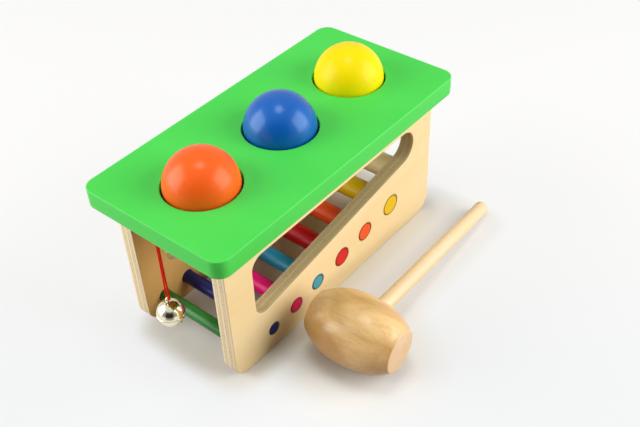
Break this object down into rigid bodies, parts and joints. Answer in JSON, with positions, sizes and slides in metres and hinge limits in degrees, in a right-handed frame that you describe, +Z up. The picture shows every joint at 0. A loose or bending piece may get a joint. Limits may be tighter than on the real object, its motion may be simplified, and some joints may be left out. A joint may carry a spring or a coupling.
{
  "type": "ball pounding bench",
  "caption": "Toy bench of green board and plywood sides with coloured balls that are hammered through onto a rod ramp, a bell on a string and a mallet.",
  "frame": {"origin": "middle of the whole set's footprint, hammer and bell included, on the floor", "axes": "+X along the bench from its bell end to its rear, +Y away from the hammer, +Z up from the floor"},
  "size_m": [0.2332, 0.1722, 0.1332],
  "materials": {
    "top_green": "glossy green lacquer on board",
    "ball_orange": "high gloss orange lacquer",
    "ball_blue": "high gloss blue lacquer",
    "ball_yellow": "high gloss yellow lacquer",
    "plywood": "clear satin lacquer on birch plywood",
    "rod_navy": "gloss navy paint",
    "rod_magenta": "gloss magenta paint",
    "rod_turquoise": "gloss turquoise paint",
    "rod_red": "gloss red paint",
    "rod_orange": "gloss orange paint",
    "rod_yellow": "gloss yellow paint",
    "rod_green": "gloss dark green paint",
    "pale_wood": "plain smooth hardwood",
    "beech": "clear lacquered turned beech",
    "pin_wood": "plain beech dowel",
    "ring_rubber": "matt black rubber",
    "bell_nickel": "bright nickel plate",
    "steel_wire": "zinc plated steel wire",
    "red_string": "twisted red cotton string"
  },
  "bodies": {
    "bench": {"top_board": "top_green", "side_panel_right": "plywood", "side_panel_left": "plywood", "ramp_rod_navy": "rod_navy", "ramp_rod_magenta": "rod_magenta", "ramp_rod_turquoise": "rod_turquoise", "ramp_rod_red": "rod_red", "ramp_rod_orange": "rod_orange", "ramp_rod_yellow": "rod_yellow", "rear_stop_bar": "pale_wood", "front_bar_green": "rod_green", "string_eye": "steel_wire", "ball_ring_orange": "ring_rubber", "ball_ring_blue": "ring_rubber", "ball_ring_yellow": "ring_rubber", "board_pin_right_1": "pin_wood", "board_pin_right_2": "pin_wood", "board_pin_right_3": "pin_wood", "board_pin_left_1": "pin_wood", "board_pin_left_2": "pin_wood", "board_pin_left_3": "pin_wood"},
    "ball_orange": {"ball_orange": "ball_orange"},
    "ball_blue": {"ball_blue": "ball_blue"},
    "ball_yellow": {"ball_yellow": "ball_yellow"},
    "bell": {"string_knot": "red_string", "bell_string": "red_string", "bell_loop": "bell_nickel", "bell_upper_cup": "bell_nickel", "bell_lower_cup": "bell_nickel", "bell_pellet": "steel_wire"},
    "hammer": {"hammer_head": "beech", "hammer_handle": "pale_wood"}
  },
  "joints": [
    {"name": "ball_orange_drop", "type": "slide", "parent": "bench", "child": "ball_orange", "axis": [0, 0, 1], "range_m": [-0.068, 0.04], "deforming": ["ball_ring_orange"]},
    {"name": "ball_blue_drop", "type": "slide", "parent": "bench", "child": "ball_blue", "axis": [0, 0, 1], "range_m": [-0.0572, 0.04], "deforming": ["ball_ring_blue"]},
    {"name": "ball_yellow_drop", "type": "slide", "parent": "bench", "child": "ball_yellow", "axis": [0, 0, 1], "range_m": [-0.0493, 0.04], "deforming": ["ball_ring_yellow"]},
    {"name": "bell_swing", "type": "hinge", "parent": "bench", "child": "bell", "pos_m": [-0.1078, 0.03206, 0.09585], "axis": [0, 1, 0], "range_deg": [-6.5, 60]},
    {"name": "hammer_lift", "type": "slide", "parent": "bench", "child": "hammer", "axis": [0, 0, 1], "range_m": [0, 0.15]}
  ]
}
